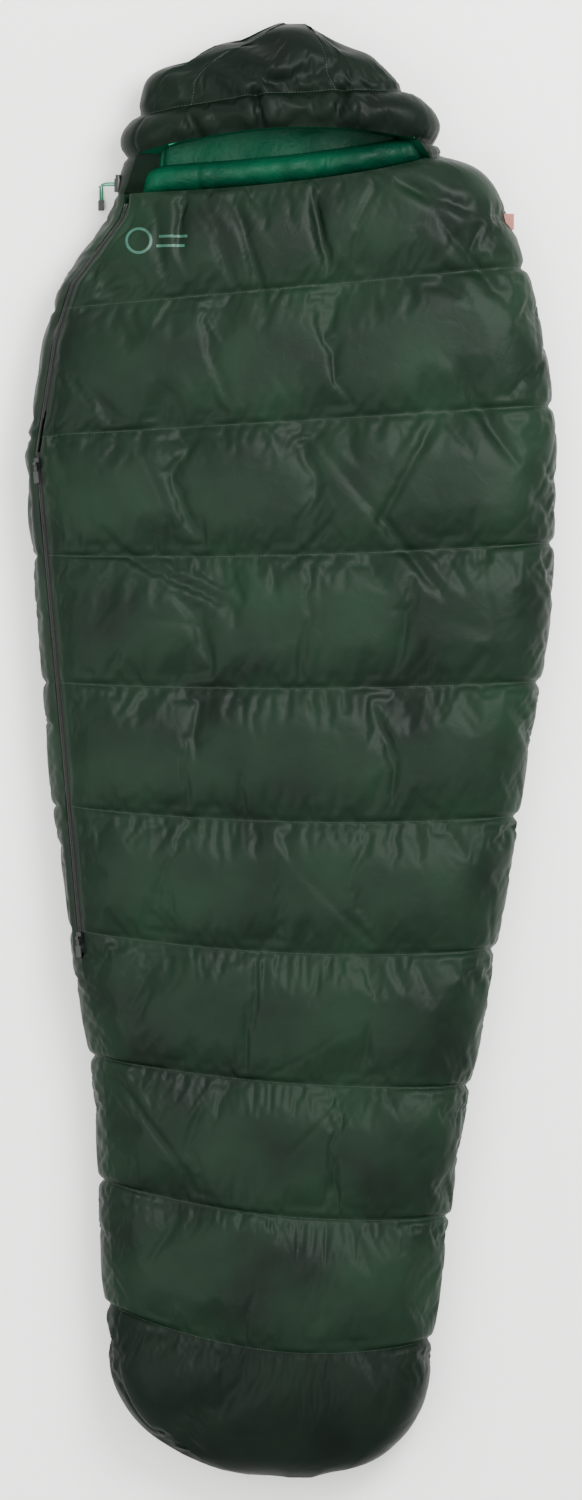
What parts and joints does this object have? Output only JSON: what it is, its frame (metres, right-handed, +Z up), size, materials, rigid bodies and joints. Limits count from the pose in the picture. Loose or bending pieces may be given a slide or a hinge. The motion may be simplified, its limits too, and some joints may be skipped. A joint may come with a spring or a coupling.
{
  "type": "mummy sleeping bag",
  "caption": "Quilted mummy sleeping bag lying flat: tapered body, padded hood with face opening and drawcord lock, two-way side zip and a chest corner that folds open.",
  "frame": {"origin": "middle of the bag's footprint, on the surface that it lies on", "axes": "+Y towards the hood, +Z up, +X towards the side without the zip"},
  "size_m": [0.78, 2.142, 0.133],
  "materials": {
    "shell_cloth": "satin",
    "batting": "matte",
    "lining_cloth": "satin",
    "zip_tape": "matte",
    "zip_coil": "satin",
    "zip_metal": "satin",
    "slider_metal": "satin",
    "grip_rubber": "matte",
    "lock_plastic": "satin",
    "spring_steel": "satin",
    "drawcord": "matte",
    "label": "matte",
    "print": "satin"
  },
  "bodies": {
    "root": {"bottom_batting": "batting", "bottom_lining": "lining_cloth", "bottom_shell": "shell_cloth", "cord_lock_barrel": "lock_plastic", "cord_lock_spring": "spring_steel", "draft_collar": "lining_cloth", "draft_tube": "lining_cloth", "drawcord_end": "lock_plastic", "drawcord_strand_foot": "drawcord", "drawcord_strand_head": "drawcord", "foot_batting": "batting", "foot_lining": "lining_cloth", "foot_shell": "shell_cloth", "hood_batting": "batting", "hood_brim": "shell_cloth", "hood_centre_gore": "shell_cloth", "hood_drawcord": "drawcord", "hood_left_gore": "shell_cloth", "hood_lining": "lining_cloth", "hood_right_gore": "shell_cloth", "neck_facing": "lining_cloth", "side_label": "label", "top_batting": "batting", "top_lining": "lining_cloth", "top_shell": "shell_cloth", "zip_coil_lower": "zip_coil", "zip_coil_upper": "zip_coil", "zip_end_box": "zip_metal", "zip_stop_lower": "zip_metal", "zip_tape_lower": "zip_tape", "zip_tape_upper": "zip_tape"},
    "chest_flap": {"flap_shell": "shell_cloth", "flap_batting": "batting", "flap_lining": "lining_cloth", "flap_neck_facing": "lining_cloth", "flap_zip_tape": "zip_tape", "flap_zip_coil": "zip_coil", "flap_zip_stop": "zip_metal", "flap_print": "print"},
    "top_slider": {"top_slider": "slider_metal"},
    "top_pull": {"top_pull": "slider_metal", "top_pull_grip": "grip_rubber"},
    "foot_slider": {"foot_slider": "slider_metal"},
    "foot_pull": {"foot_pull": "slider_metal", "foot_pull_grip": "grip_rubber"},
    "lock_plunger": {"cord_lock_plunger": "lock_plastic"}
  },
  "joints": [
    {"name": "chest_flap_fold", "type": "hinge", "parent": "root", "child": "chest_flap", "pos_m": [-0.37459, 0.444, 0.122], "axis": [0.6815, 0.7313, 0.0273], "range_deg": [0, 160]},
    {"name": "top_slider_travel", "type": "slide", "parent": "root", "child": "top_slider", "axis": [0.0888, -0.996, 0], "range_m": [0, 0.54]},
    {"name": "top_pull_swing", "type": "hinge", "parent": "top_slider", "child": "top_pull", "pos_m": [-0.37879, 0.4235, 0.10521], "axis": [-0.665, -0.0593, -0.7445], "range_deg": [0, 120]},
    {"name": "foot_slider_travel", "type": "slide", "parent": "root", "child": "foot_slider", "axis": [-0.0888, 0.996, 0], "range_m": [0, 0.1]},
    {"name": "foot_pull_swing", "type": "hinge", "parent": "foot_slider", "child": "foot_pull", "pos_m": [-0.31618, -0.2785, 0.10521], "axis": [-0.665, -0.0593, -0.7445], "range_deg": [0, 120]},
    {"name": "cord_lock_press", "type": "slide", "parent": "root", "child": "lock_plunger", "axis": [0, -1, 0], "range_m": [0, 0.0036], "stiffness_N_per_m": 400, "springref_m": -0.002}
  ]
}
